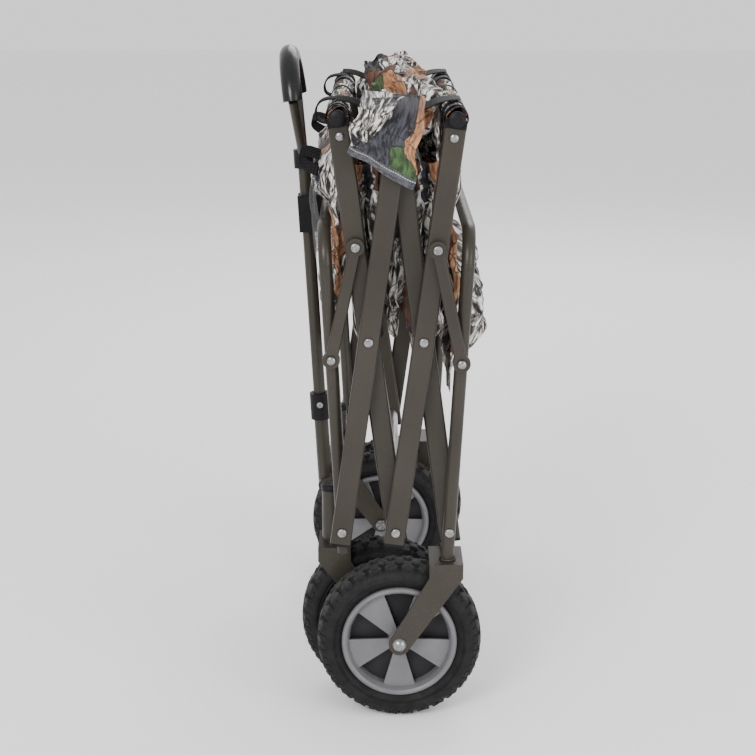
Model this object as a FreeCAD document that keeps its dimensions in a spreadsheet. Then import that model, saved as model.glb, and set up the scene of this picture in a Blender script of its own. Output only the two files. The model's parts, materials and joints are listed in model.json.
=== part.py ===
"""Folding camp wagon, folded and standing on its four wheels.

+X points to the rear, -X to the handle, -Y is the wagon's left side and +Z is up. The origin is on
the ground under the middle of the folded wagon. Lengths are in millimetres, angles in degrees.

Each long side has two crossed pairs of bars. The front pair is the front riser (front foot to the
top centre) and the front rail bar (bottom centre to the front rail). The rear pair mirrors it.
"""
import math
import os

import FreeCAD
import Part
from FreeCAD import Placement, Rotation, Vector

SIZES = [
    # alias, value, meaning
    ("half_bar", 239.0, "foot pivot to crossing, and crossing to centre pivot"),
    ("rail_reach", 262.0, "crossing to the centre of a top rail"),
    ("folded_lean", 7.8, "angle of every bar from vertical when folded"),
    ("post_lean", 3.2, "outward lean of the end frames when folded"),
    ("pivot_height", 244.0, "height of the lower pivots"),
    ("centre_shift", 20.63, "scissor centre line to the model's origin along X"),
    ("bar_wide", 25.0, "flat bar tube, seen from the side"),
    ("bar_thick", 16.0, "flat bar tube, across the wagon"),
    ("bar_wall", 1.5, "wall of the flat bar tube"),
    ("bar_corner", 3.0, "rounding of the bar's long edges"),
    ("outer_layer", 264.0, "middle of the outer bars from the centre plane"),
    ("inner_layer", 246.0, "middle of the inner bars from the centre plane"),
    ("post_radius", 8.0, "end frame tube"),
    ("tube_wall", 1.4, "wall of the round tubes"),
    ("cross_radius", 7.0, "lower cross tubes of the end frames"),
    ("post_top", 610.0, "height of an end frame's top tube"),
    ("post_bend", 42.0, "bend radius of an end frame's corners"),
    ("rail_radius", 7.5, "top rail tube"),
    ("sleeve_radius", 13.0, "fabric sleeve round a top rail"),
    ("pin_radius", 4.0, "pivot bolt"),
    ("pin_gap", 0.06, "running clearance round a pivot bolt"),
    ("head_radius", 5.6, "bolt head"),
    ("head_thick", 3.0, "bolt head"),
    ("link_wide", 15.0, "short link, seen from the side"),
    ("link_thick", 7.0, "short link, across the wagon"),
    ("link_eye", 10.5, "rounded end of a short link"),
    ("link_reach", 112.0, "crossing to the link's pivot on a rail bar"),
    ("link_post", 213.0, "foot pivot to the link's pivot along the post"),
    ("wheel_radius", 101.6, "outside of the tyre, an eight inch wheel"),
    ("tyre_wide", 50.0, "tread width"),
    ("rim_radius", 71.0, "outside of the rim"),
    ("hub_radius", 15.0, "hub of the rim"),
    ("bore_radius", 6.0, "bore of the hub"),
    ("axle_gap", 0.08, "running clearance of the axle"),
    ("fork_inside", 58.0, "between the fork's plates"),
    ("fork_sheet", 3.0, "fork plate"),
    ("fork_long", 41.0, "fork crown along the wagon"),
    ("fork_eye", 13.0, "rounded lower end of a fork's arm"),
    ("fork_shoulder", 18.0, "crown down to where a fork's arm turns"),
    ("fork_corner", 5.0, "inside corner under a fork's crown"),
    ("axle_nut", 8.3, "nut inside a fork"),
    ("rear_fork_top", 207.0, "height of the rear fork's crown"),
    ("caster_top", 202.0, "height of the caster fork's crown"),
    ("wheel_inset", 60.0, "rear foot pivot to rear axle along X"),
    ("trail", 63.0, "swivel axis to caster axle"),
    ("rear_wheel_y", 251.0, "middle of a rear wheel"),
    ("caster_y", 181.0, "swivel axis from the centre plane"),
    ("stem_radius", 12.0, "swivel tube"),
    ("stem_tall", 62.0, "swivel tube"),
    ("stem_offset", 15.0, "front foot pivot to the swivel axis along X"),
    ("king_radius", 6.0, "swivel pin"),
    ("handle_drop", 27.0, "front foot pivot down to the handle hinge"),
    ("handle_out", 28.4, "front foot pivot out to the handle hinge"),
    ("sheath_radius", 9.5, "lower tube of the handle"),
    ("sheath_long", 120.0, "lower tube of the handle"),
    ("pull_radius", 8.0, "sliding tube of the handle"),
    ("pull_top", 447.0, "hinge to the top of the sliding tube, along it"),
    ("grip_radius", 12.5, "rubber grip"),
    ("loop_radius", 6.0, "tube inside the grip"),
    ("loop_half", 62.0, "half width of the handle loop"),
    ("cloth_half", 222.0, "half width of the folded cloth tub"),
    ("panel_thick", 9.0, "folded floor panel"),
]

doc = FreeCAD.newDocument("FoldingWagon")
sheet = doc.addObject("Spreadsheet::Sheet", "Sizes")
for row, (alias, value, meaning) in enumerate(SIZES, 1):
    sheet.set(f"A{row}", meaning)
    sheet.set(f"B{row}", str(value))
    sheet.setAlias(f"B{row}", alias)
doc.recompute()


class Size:
    """Reads a driving dimension from the sheet by its alias."""

    def __getattr__(self, alias):
        return float(getattr(sheet, alias))


size = Size()
nodes = []
ALONG_Y = Vector(0, 1, 0)
UP = Vector(0, 0, 1)


# ---------------------------------------------------------------- points of the side view
def lean_from(point, lean, reach):
    """The point at a distance from another, up a line that leans towards +X by an angle."""
    a = math.radians(lean)
    return point[0] + reach * math.sin(a), point[1] + reach * math.cos(a)


CENTRE = (size.centre_shift, size.pivot_height)
SPREAD = 2 * size.half_bar * math.sin(math.radians(size.folded_lean))
FOOT = {"front": (CENTRE[0] - SPREAD, CENTRE[1]), "rear": (CENTRE[0] + SPREAD, CENTRE[1])}
OUT = {"front": -1, "rear": 1}
LAYER = {"front": size.inner_layer, "rear": size.outer_layer}


def crossing(end):
    return lean_from(FOOT[end], -OUT[end] * size.folded_lean, size.half_bar)


def rail_centre(end):
    return lean_from(CENTRE, OUT[end] * size.folded_lean, size.half_bar + size.rail_reach)


def post_point(end, reach):
    """A point on an end frame's post, at a distance up from the foot pivot."""
    return lean_from(FOOT[end], OUT[end] * size.post_lean, reach)


def link_ends(end):
    on_bar = lean_from(CENTRE, OUT[end] * size.folded_lean, size.half_bar + size.link_reach)
    return on_bar, post_point(end, size.link_post)


# ---------------------------------------------------------------- small makers
def add(kind, name, **bound):
    """A new document object whose properties are bound to expressions."""
    made = doc.addObject(kind, name)
    for prop, expression in bound.items():
        made.setExpression(prop, expression)
    return made


def aimed(point, direction=UP):
    return Placement(Vector(*point), Rotation(UP, Vector(*direction)))


def leaning(x, y, z, lean):
    return Placement(Vector(x, y, z), Rotation(ALONG_Y, lean))


def rod(name, radius, length, point, direction=UP):
    made = add("Part::Cylinder", name, Radius=radius, Height=length)
    made.Placement = aimed(point, direction)
    return made


def box(name, wide, deep, tall, place):
    """A box centred on its own X and Y, standing on its own Z."""
    made = add("Part::Box", name, Length=wide, Width=deep, Height=tall)
    doc.recompute()
    half = Vector(-made.Length.Value / 2, -made.Width.Value / 2, 0)
    made.Placement = place.multiply(Placement(half, Rotation()))
    return made


def cut(name, base, *tools):
    made = doc.addObject("Part::Cut", name)
    made.Base = base
    made.Tool = tools[0] if len(tools) == 1 else fuse(name + "Tools", *tools)
    return made


def fuse(name, *shapes):
    made = doc.addObject("Part::MultiFuse", name)
    made.Shapes = list(shapes)
    return made


def tube(name, radius, length, point, direction=UP):
    outer = rod(name + "Outside", radius, length, point, direction)
    inner = rod(name + "Inside", radius + " - Sizes.tube_wall", length, point, direction)
    return cut(name, outer, inner)


def rounded(name, base, radius, wanted):
    """Rounds the edges of a shape that the test wanted(edge) picks."""
    doc.recompute()
    picked = [i for i, edge in enumerate(base.Shape.Edges, 1) if wanted(edge)]
    made = doc.addObject("Part::Fillet", name)
    made.Base = base
    made.Edges = [(i, radius, radius) for i in picked]
    return made


def runs_along(direction):
    """A test for straight edges parallel to a direction."""
    aim = Vector(*direction).normalize()

    def wanted(edge):
        if edge.Curve.TypeId != "Part::GeomLine":
            return False
        return abs(edge.tangentAt(edge.FirstParameter).dot(aim)) > 0.999

    return wanted


def node(label, *shapes):
    """One file of the assembly: a single shape, or several solids as one group."""
    made = shapes[0]
    if len(shapes) > 1:
        made = doc.addObject("Part::Compound", "Group_" + label)
        made.Links = list(shapes)
    made.Label = label
    nodes.append(made)


def mirrored(shape):
    """The same piece on the wagon's other side."""
    made = doc.addObject("Part::Mirroring", shape.Name + "Other")
    made.Source = shape
    made.Normal = ALONG_Y
    return made


def pair(label, *shapes):
    node(label, *shapes, *[mirrored(shape) for shape in shapes])


# ---------------------------------------------------------------- bars, bolts and links
def bolt(name, point, inner, outer, head_at_outer=True, nut=True):
    """A pivot bolt on the left side, between two distances from the centre plane."""
    x, z = point
    shank = add("Part::Cylinder", name + "Shank", Radius="Sizes.pin_radius")
    shank.Height = outer - inner
    shank.Placement = aimed((x, -outer, z), (0, 1, 0))
    shapes = [shank]
    if head_at_outer:
        head = rod(name + "Head", "Sizes.head_radius", "Sizes.head_thick", (x, -outer, z), (0, -1, 0))
        shapes.append(rounded(name + "Dome", head, size.head_thick * 0.6, outer_rim(outer, head)))
    if nut:
        nut_high = size.head_thick
        hexagon = add("Part::Prism", name + "Nut", Circumradius="Sizes.head_radius")
        hexagon.Height = nut_high
        hexagon.Placement = aimed((x, -inner, z), (0, 1, 0))
        shapes.append(hexagon)
    return fuse(name, *shapes) if len(shapes) > 1 else shank


def outer_rim(outer, head):
    """A test for the circle at the outside of a bolt head."""

    def wanted(edge):
        far = -(outer + size.head_thick)
        at_far = all(abs(v.Point.y - far) < 0.01 for v in edge.Vertexes)
        return at_far and edge.Curve.TypeId == "Part::GeomCircle"

    return wanted


def bar(name, point, lean, layer, below, above, holes):
    """A flat steel tube on the left side; holes are distances up the bar from the point."""
    x, z = lean_from(point, lean, -below)
    y = -layer
    long = below + above
    place = leaning(x, y, z, lean)
    outside = box(name + "Outside", "Sizes.bar_wide", "Sizes.bar_thick", f"{long}", place)
    axis = place.Rotation.multVec(UP)
    soft = rounded(name + "Soft", outside, size.bar_corner, runs_along(axis))
    hollow = box(
        name + "Hollow",
        "Sizes.bar_wide - 2 * Sizes.bar_wall",
        "Sizes.bar_thick - 2 * Sizes.bar_wall",
        f"{long}",
        place,
    )
    drills = []
    for i, reach in enumerate(holes):
        hx, hz = lean_from(point, lean, reach)
        drills.append(
            rod(
                f"{name}Drill{i}",
                "Sizes.pin_radius + Sizes.pin_gap",
                "Sizes.bar_thick + 4",
                (hx, y - size.bar_thick / 2 - 2, hz),
                (0, 1, 0),
            )
        )
    return cut(name, cut(name + "Tube", soft, hollow), *drills)


def plug(name, point, lean, layer, reach, side, thick=3.0):
    """A plastic plug that closes a bar's end; side is 1 for the upper end and -1 for the lower."""
    flip = 0 if side > 0 else 180
    x, z = lean_from(point, lean, reach)
    place = leaning(x, -layer, z, lean + flip)
    cap = box(name, "Sizes.bar_wide", "Sizes.bar_thick", f"{thick}", place)
    axis = place.Rotation.multVec(UP)
    return rounded(name + "Soft", cap, size.bar_corner, runs_along(axis))


BELOW = 15.0  # bar beyond its lowest pivot
ABOVE = 13.0  # riser beyond the top centre pivot
LONG = 2 * size.half_bar
for end in ("front", "rear"):
    out = OUT[end]
    riser_layer = size.outer_layer if end == "front" else size.inner_layer
    rail_layer = size.inner_layer if end == "front" else size.outer_layer
    riser_lean, rail_lean = -out * size.folded_lean, out * size.folded_lean
    name = end.capitalize()

    riser = bar(
        name + "Riser", FOOT[end], riser_lean, riser_layer, BELOW, LONG + ABOVE, (0, size.half_bar, LONG)
    )
    pair(f"{end}_riser_bars", riser)
    pair(
        f"{end}_riser_plugs",
        plug(name + "RiserLow", FOOT[end], riser_lean, riser_layer, -BELOW, -1),
        plug(name + "RiserHigh", FOOT[end], riser_lean, riser_layer, LONG + ABOVE, 1),
    )

    rail_top = size.half_bar + size.rail_reach
    seat = size.rail_radius + 0.3
    bar_top = rail_top - seat - 3
    on_bar, on_post = link_ends(end)
    link_hole = size.half_bar + size.link_reach
    rail_bar = bar(
        name + "RailBar", CENTRE, rail_lean, rail_layer, BELOW, bar_top, (0, size.half_bar, link_hole)
    )
    pair(f"{end}_rail_bars", rail_bar)

    # a plastic cradle on each rail bar's top holds the rail's end, under a round cap
    x, z = lean_from(CENTRE, rail_lean, bar_top)
    block = box(
        name + "CradleBlock", "Sizes.bar_wide", "Sizes.bar_thick", "Sizes.rail_radius + 3.3",
        leaning(x, -rail_layer, z, rail_lean),
    )
    rx, rz = rail_centre(end)
    groove = rod(
        name + "CradleGroove", "Sizes.rail_radius + 0.05", "Sizes.bar_thick + 4",
        (rx, -rail_layer - size.bar_thick / 2 - 2, rz), (0, 1, 0),
    )
    cradle = cut(name + "Cradle", block, groove)
    half_rail = rail_layer + size.bar_thick / 2
    rail = add("Part::Cylinder", name + "RailOutside", Radius="Sizes.rail_radius")
    rail.Height = 2 * half_rail
    rail.Placement = aimed((rx, -half_rail, rz), (0, 1, 0))
    bore = add("Part::Cylinder", name + "RailBore", Radius="Sizes.rail_radius - Sizes.tube_wall")
    bore.Height = 2 * half_rail
    bore.Placement = aimed((rx, -half_rail, rz), (0, 1, 0))
    node(f"{end}_rail", cut(name + "Rail", rail, bore))
    cap = rod(name + "RailCap", "Sizes.rail_radius + 0.3", "3", (rx, -half_rail, rz), (0, -1, 0))
    low_plug = plug(name + "RailBarLow", CENTRE, rail_lean, rail_layer, -BELOW, -1)
    pair(f"{end}_rail_cradles", cradle, low_plug, cap)
    sleeve_half = size.cloth_half
    sleeve = add("Part::Cylinder", name + "SleeveOutside", Radius="Sizes.sleeve_radius")
    hollow = add("Part::Cylinder", name + "SleeveHollow", Radius="Sizes.rail_radius + 0.4")
    for shape in (sleeve, hollow):
        shape.Height = 2 * sleeve_half
        shape.Placement = aimed((rx, -sleeve_half, rz), (0, 1, 0))
    node(f"{end}_rail_sleeve", cut(name + "Sleeve", sleeve, hollow))

    # bolts: the crossing bolt and the link bolt ride on the outermost piece that they hold
    inner_face = size.inner_layer - size.bar_thick / 2 - 0.5
    outer_face = size.outer_layer + size.bar_thick / 2 + 0.2
    cross = bolt(name + "CrossBolt", crossing(end), inner_face, outer_face)
    link_layer = rail_layer + size.bar_thick / 2 + 1 + size.link_thick / 2
    link_face = link_layer + size.link_thick / 2 + 0.3
    link_bolt = bolt(name + "LinkBolt", on_bar, rail_layer - 4, link_face, nut=False)
    foot_inner = size.inner_layer - size.bar_thick / 2 - 0.5
    if end == "front":
        top_centre = lean_from(FOOT[end], riser_lean, LONG)
        pair("front_riser_bolts", cross, bolt("TopBolt", top_centre, inner_face, outer_face))
        pair("front_link_bolts", link_bolt)
        pair("front_foot_bolts", bolt("FrontFootBolt", FOOT[end], foot_inner, outer_face))
    else:
        pair("rear_link_bolts", link_bolt, cross)
        rear_foot_bolt = bolt("RearFootBolt", FOOT[end], foot_inner, outer_face)

    # the short link, whose lower bolt stops just short of the post
    (bx, bz), (fx, fz) = on_bar, on_post
    long = math.hypot(bx - fx, bz - fz)
    lean = math.degrees(math.atan2(bx - fx, bz - fz))
    shank = box(
        name + "LinkShank", "Sizes.link_wide", "Sizes.link_thick", f"{long}",
        leaning(fx, -link_layer, fz, lean),
    )
    eyes = [
        rod(
            f"{name}LinkEye{i}", "Sizes.link_eye", "Sizes.link_thick",
            (ex, -link_layer - size.link_thick / 2, ez), (0, 1, 0),
        )
        for i, (ex, ez) in enumerate((on_bar, on_post))
    ]
    axis = leaning(0, 0, 0, lean).Rotation.multVec(UP)
    soft = rounded(name + "LinkSoft", shank, size.link_thick * 0.42, runs_along(axis))
    drill = rod(
        name + "LinkDrill", "Sizes.pin_radius + Sizes.pin_gap", "Sizes.link_thick + 4",
        (bx, -link_layer - size.link_thick / 2 - 2, bz), (0, 1, 0),
    )
    low_head = rod(
        name + "LinkHead", "Sizes.head_radius", "Sizes.head_thick",
        (fx, -link_layer - size.link_thick / 2 + 0.5, fz), (0, -1, 0),
    )
    link = cut(name + "Link", fuse(name + "LinkBody", soft, *eyes, low_head), drill)
    pair(f"{end}_links", link)

# ---------------------------------------------------------------- bottom centre
tube_half = size.inner_layer - size.bar_thick / 2 - 0.6
across = add("Part::Cylinder", "CentreTubeOutside", Radius="Sizes.post_radius")
across.Height = 2 * tube_half
across.Placement = aimed((CENTRE[0], -tube_half, CENTRE[1]), (0, 1, 0))
across_bore = add("Part::Cylinder", "CentreTubeBore", Radius="Sizes.pin_radius")
across_bore.Height = 2 * tube_half
across_bore.Placement = across.Placement
node("centre_tube", cut("CentreTube", across, across_bore))
centre_face = size.outer_layer + size.bar_thick / 2 + 0.2
pair("centre_bolts", bolt("CentreBolt", CENTRE, tube_half - 30, centre_face, nut=False))


# ---------------------------------------------------------------- end frames
def frame_place(end, reach):
    """The plane of an end frame, with its origin on the centre plane, up the posts by a reach."""
    x, z = post_point(end, reach)
    return leaning(x, 0, z, OUT[end] * size.post_lean)


def top_tube(end, half, straight):
    """The frame's top tube with its two bends, swept along a sketch."""
    name = end.capitalize() + "Top"
    body = doc.addObject("PartDesign::Body", name)
    planes = {f.Role: f for f in body.Origin.OriginFeatures}
    bend = size.post_bend

    spine = body.newObject("Sketcher::SketchObject", name + "Spine")
    spine.AttachmentSupport = [(planes["YZ_Plane"], "")]
    spine.MapMode = "FlatFace"
    spine.addGeometry(
        Part.Arc(
            Vector(-half, 0, 0),
            Vector(-half + bend * (1 - math.sqrt(0.5)), bend * math.sqrt(0.5), 0),
            Vector(-half + bend, bend, 0),
        )
    )
    spine.addGeometry(Part.LineSegment(Vector(-half + bend, bend, 0), Vector(half - bend, bend, 0)))
    spine.addGeometry(
        Part.Arc(
            Vector(half - bend, bend, 0),
            Vector(half - bend * (1 - math.sqrt(0.5)), bend * math.sqrt(0.5), 0),
            Vector(half, 0, 0),
        )
    )
    ring = body.newObject("Sketcher::SketchObject", name + "Ring")
    ring.AttachmentSupport = [(planes["XY_Plane"], "")]
    ring.MapMode = "FlatFace"
    for inset in (0, size.tube_wall):
        ring.addGeometry(Part.Circle(Vector(0, -half, 0), UP, size.post_radius - inset))
    doc.recompute()
    pipe = body.newObject("PartDesign::AdditivePipe", name + "Pipe")
    pipe.Profile = ring
    pipe.Spine = (spine, [])
    body.Tip = pipe
    body.Placement = frame_place(end, straight)
    return body


for end in ("front", "rear"):
    out, name, layer = OUT[end], end.capitalize(), LAYER[end]
    lean = out * size.post_lean
    straight = size.post_top - size.post_bend - size.pivot_height
    # the front posts end in short stubs; the rear posts stand on the fork crowns
    down = 34.0 if end == "front" else size.pivot_height - size.rear_fork_top - 0.6
    low = post_point(end, -down)
    direction = leaning(0, 0, 0, lean).Rotation.multVec(UP)
    post = tube(
        name + "Post", "Sizes.post_radius", f"{straight + down - 0.2}",
        (low[0], -layer, low[1]), tuple(direction),
    )
    foot = FOOT[end]
    drill = rod(
        name + "PostDrill", "Sizes.pin_radius", "Sizes.bar_thick + 4",
        (foot[0], -layer - size.bar_thick / 2 - 2, foot[1]), (0, 1, 0),
    )
    pair(f"{end}_posts", cut(name + "PostDrilled", post, drill))
    node(f"{end}_top_tube", top_tube(end, layer, straight))

    # the lower cross tube stops at the posts; at the rear it lies on the fork crowns
    cross_reach = -14.0 if end == "front" else -29.6
    cx, cz = post_point(end, cross_reach)
    half = layer - size.post_radius - 0.3
    lower = add("Part::Cylinder", name + "CrossOutside", Radius="Sizes.cross_radius")
    lower_bore = add("Part::Cylinder", name + "CrossBore", Radius="Sizes.cross_radius - Sizes.tube_wall")
    for shape in (lower, lower_bore):
        shape.Height = 2 * half
        shape.Placement = aimed((cx, -half, cz), (0, 1, 0))
    crossbar = cut(name + "Cross", lower, lower_bore)
    if end == "front":
        stem_x = FOOT["front"][0] - size.stem_offset
        notches = [
            rod(
                f"CrossNotch{side}", "Sizes.stem_radius + 0.2", "Sizes.stem_tall + 20",
                (stem_x, side * size.caster_y, size.caster_top - 5),
            )
            for side in (-1, 1)
        ]
        crossbar = cut("FrontCrossNotched", crossbar, *notches)
    node(f"{end}_cross_tube", crossbar)


# ---------------------------------------------------------------- forks
def fork(name, crown, axle, y):
    """A pressed U fork: a crown plate and two tapering arms down to the axle."""
    top, sheet_thick = crown[1], size.fork_sheet
    wide = size.fork_inside + 2 * sheet_thick
    body = doc.addObject("PartDesign::Body", name)
    planes = {f.Role: f for f in body.Origin.OriginFeatures}
    dx, dz = axle[0] - crown[0], axle[1] - top
    eye, half, shoulder = size.fork_eye, size.fork_long / 2, size.fork_shoulder

    side = body.newObject("Sketcher::SketchObject", name + "Side")
    side.AttachmentSupport = [(planes["XZ_Plane"], "")]
    side.MapMode = "FlatFace"
    along = math.hypot(dx, dz)
    ux, uz = dx / along, dz / along
    left = Vector(dx + uz * eye, dz - ux * eye, 0)
    right = Vector(dx - uz * eye, dz + ux * eye, 0)
    end_point = Vector(dx + ux * eye, dz + uz * eye, 0)
    corners = [Vector(-half, 0, 0), Vector(half, 0, 0)]
    near_right = right if (right - corners[1]).Length < (left - corners[1]).Length else left
    near_left = left if near_right is right else right
    side.addGeometry(Part.LineSegment(corners[0], corners[1]))
    shoulder_right = Vector(half, -shoulder, 0)
    shoulder_left = Vector(-half, -shoulder, 0)
    side.addGeometry(Part.LineSegment(corners[1], shoulder_right))
    side.addGeometry(Part.LineSegment(shoulder_right, near_right))
    side.addGeometry(Part.Arc(near_right, end_point, near_left))
    side.addGeometry(Part.LineSegment(near_left, shoulder_left))
    side.addGeometry(Part.LineSegment(shoulder_left, corners[0]))
    pad = body.newObject("PartDesign::Pad", name + "Pad")
    pad.Profile = side
    pad.setExpression("Length", "Sizes.fork_inside + 2 * Sizes.fork_sheet")
    pad.Midplane = True

    gap = body.newObject("Sketcher::SketchObject", name + "Gap")
    gap.AttachmentSupport = [(planes["YZ_Plane"], "")]
    gap.MapMode = "FlatFace"
    inside, deep = size.fork_inside / 2, dz - 2 * eye
    corner, under = size.fork_corner, -sheet_thick
    outline = [
        Vector(-inside, deep, 0), Vector(inside, deep, 0), Vector(inside, under - corner, 0),
        Vector(inside - corner, under, 0), Vector(-inside + corner, under, 0),
        Vector(-inside, under - corner, 0),
    ]
    for start, stop in zip(outline, outline[1:] + outline[:1]):
        gap.addGeometry(Part.LineSegment(start, stop))
    doc.recompute()
    pocket = body.newObject("PartDesign::Pocket", name + "Pocket")
    pocket.Profile = gap
    pocket.Type = 1
    pocket.Midplane = True
    body.Tip = pocket
    doc.recompute()
    if wide * size.fork_long * along * 0.9 < pocket.Shape.Volume:
        raise RuntimeError(f"{name}: the fork's gap cut nothing")
    bore = rod(
        name + "AxleHole", "Sizes.bore_radius", "200", (axle[0] - crown[0], -100, axle[1] - top), (0, 1, 0)
    )
    made = cut(name + "Drilled", body, bore)
    made.Placement = Placement(Vector(crown[0], y, top), Rotation())
    return made


def axle_bolt(name, axle, y):
    """The bolt through a fork and its wheel, with a domed head outside and a nut inside."""
    x, z = axle
    reach = size.fork_inside / 2 + size.fork_sheet
    shank = add("Part::Cylinder", name + "Shank", Radius="Sizes.bore_radius - Sizes.axle_gap")
    shank.Height = 2 * reach + 0.4
    shank.Placement = aimed((x, y - reach - 0.2, z), (0, 1, 0))
    outside = -1 if y < 0 else 1
    head = add("Part::Sphere", name + "Dome", Radius="Sizes.bore_radius + 4")
    head.Placement = Placement(Vector(x, y + outside * (reach - 4), z), Rotation())
    outside_face = aimed((x, y + outside * (reach + 0.2), z), (0, outside, 0))
    half_space = box(name + "Half", "40", "40", "40", outside_face)
    dome = doc.addObject("Part::Common", name + "DomeHalf")
    dome.Base, dome.Tool = head, half_space
    nut = add("Part::Prism", name + "Nut", Circumradius="Sizes.axle_nut")
    nut.Height = 7
    nut.Placement = aimed((x, y - outside * (reach + 0.1), z), (0, -outside, 0))
    return fuse(name, shank, dome, nut)


REAR_AXLE = (FOOT["rear"][0] - size.wheel_inset, size.wheel_radius)
REAR_CROWN = (FOOT["rear"][0] - 3.5, size.rear_fork_top)
STEM_X = FOOT["front"][0] - size.stem_offset
FRONT_AXLE = (STEM_X + size.trail, size.wheel_radius)
FRONT_CROWN = (STEM_X + 4, size.caster_top)
rear_forks = [
    fork(f"RearFork{tag}", REAR_CROWN, REAR_AXLE, side * size.rear_wheel_y)
    for tag, side in (("L", -1), ("R", 1))
]
node("rear_forks", *rear_forks)
pair("rear_frame_bolts", rear_foot_bolt, axle_bolt("RearAxle", REAR_AXLE, -size.rear_wheel_y))

for tag, side in (("left", -1), ("right", 1)):
    name = tag.capitalize()
    y = side * size.caster_y
    # the swivel pin stands on the crown and turns in the stem tube
    king = rod(name + "King", "Sizes.king_radius", "Sizes.stem_tall - 4", (STEM_X, y, size.caster_top - 1))
    race = rod(name + "Race", "Sizes.stem_radius - 1", "4.6", (STEM_X, y, size.caster_top - 0.5))
    crown = fork(name + "Caster", FRONT_CROWN, FRONT_AXLE, y)
    node(f"caster_fork_{tag}", fuse(name + "CasterFork", crown, king, race))
    node(f"caster_axle_{tag}", axle_bolt(name + "CasterAxle", FRONT_AXLE, y))

stems = []
for tag, side in (("L", -1), ("R", 1)):
    y = side * size.caster_y
    base_z = size.caster_top + 4.6
    outer = rod("Stem" + tag, "Sizes.stem_radius", "Sizes.stem_tall", (STEM_X, y, base_z))
    inner = rod(
        "StemBore" + tag, "Sizes.king_radius + Sizes.pin_gap", "Sizes.stem_tall + 2",
        (STEM_X, y, base_z - 1),
    )
    stems.append(cut("StemTube" + tag, outer, inner))
node("caster_stems", *stems)
caps = []
for tag, side in (("L", -1), ("R", 1)):
    cap_z = size.caster_top + 4.6 + size.stem_tall + 0.1
    cap = rod("StemCap" + tag, "Sizes.stem_radius + 1", "8", (STEM_X, side * size.caster_y, cap_z))
    doc.recompute()
    caps.append(
        rounded(
            "StemCapSoft" + tag, cap, 4,
            lambda e: e.Curve.TypeId == "Part::GeomCircle" and abs(e.Vertexes[0].Point.z - cap_z - 8) < 0.01,
        )
    )
node("caster_stem_caps", *caps)


# ---------------------------------------------------------------- wheels
def revolved(name, points, place):
    """A ring turned about the Y axis from an outline of (distance along the axle, radius)."""
    body = doc.addObject("PartDesign::Body", name)
    planes = {f.Role: f for f in body.Origin.OriginFeatures}
    outline = body.newObject("Sketcher::SketchObject", name + "Outline")
    outline.AttachmentSupport = [(planes["XY_Plane"], "")]
    outline.MapMode = "FlatFace"
    for i, point in enumerate(points):
        after = points[(i + 1) % len(points)]
        outline.addGeometry(Part.LineSegment(Vector(point[1], point[0], 0), Vector(after[1], after[0], 0)))
    turn = body.newObject("PartDesign::Revolution", name + "Turn")
    turn.Profile = outline
    turn.ReferenceAxis = (outline, ["V_Axis"])
    turn.Angle = 360
    body.Tip = turn
    body.Placement = place
    return body


def tyre_outline():
    """A closed tyre section with rounded shoulders, as (along the axle, radius) points."""
    half, outer, inner = size.tyre_wide / 2, size.wheel_radius, size.rim_radius + 0.4
    corner = 9.0
    turn = [math.radians(a) for a in (0, 22.5, 45, 67.5, 90)]
    right = [(half - corner + corner * math.sin(a), outer - corner + corner * math.cos(a)) for a in turn]
    wall = [(half, outer - 16), (half - 3, inner + 3), (half - 6, inner)]
    one_side = right + wall
    return one_side + [(-y, r) for y, r in reversed(one_side)]


def wheel(tag, axle, y):
    """A tyre and a five-spoked rim, turning on the axle bolt."""
    place = Placement(Vector(axle[0], y, axle[1]), Rotation())
    node(f"tyre_{tag}", revolved("Tyre" + tag, tyre_outline(), place))
    rim, hub = size.rim_radius, size.hub_radius
    half = size.tyre_wide / 2
    band = revolved(
        "RimBand" + tag,
        [
            (-half + 4, rim), (half - 4, rim), (half - 4, rim - 7),
            (8, rim - 9), (-8, rim - 9), (-half + 4, rim - 7),
        ],
        Placement(),
    )
    core = revolved(
        "RimHub" + tag,
        [
            (-half - 3.6, size.bore_radius), (-half - 3.6, hub - 4), (-half + 8, hub),
            (half - 8, hub), (half + 3.6, hub - 4), (half + 3.6, size.bore_radius),
        ],
        Placement(),
    )
    spokes = []
    for i in range(5):
        for layer, turned in (((-half + 7, 14), 0), ((-7, 14), 36)):
            inner = box(
                f"Spoke{tag}{i}_{turned}", "24", f"{layer[1] * 0.5}", f"{rim - hub - 3}",
                Placement(
                    Vector(0, layer[0] if turned == 0 else 0, 0), Rotation(ALONG_Y, 72 * i + turned + 180)
                )
                .multiply(Placement(Vector(0, 0, hub - 3), Rotation())),
            )
            spokes.append(inner)
    made = fuse("Rim" + tag, band, core, *spokes)
    made.Placement = place
    node(f"rim_{tag}", made)


for tag, side in (("rear_left", -1), ("rear_right", 1)):
    wheel(tag, REAR_AXLE, side * size.rear_wheel_y)
for tag, side in (("front_left", -1), ("front_right", 1)):
    wheel(tag, FRONT_AXLE, side * size.caster_y)

# ---------------------------------------------------------------- handle
HINGE = (FOOT["front"][0] - size.handle_out, FOOT["front"][1] - size.handle_drop)
HANDLE = Placement(Vector(HINGE[0], 0, HINGE[1]), Rotation(ALONG_Y, -size.post_lean))


def on_handle(x, y, z):
    """A point given in the handle's own frame, whose Z runs up the handle from the hinge."""
    return HANDLE.multVec(Vector(x, y, z))


def handle_rod(name, radius, length, z):
    made = add("Part::Cylinder", name, Radius=radius, Height=length)
    made.Placement = HANDLE.multiply(Placement(Vector(0, 0, z), Rotation()))
    return made


def handle_box(name, wide, deep, tall, x, y, z):
    place = HANDLE.multiply(Placement(Vector(x, y, z), Rotation()))
    return box(name, f"{wide}", f"{deep}", f"{tall}", place)


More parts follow.
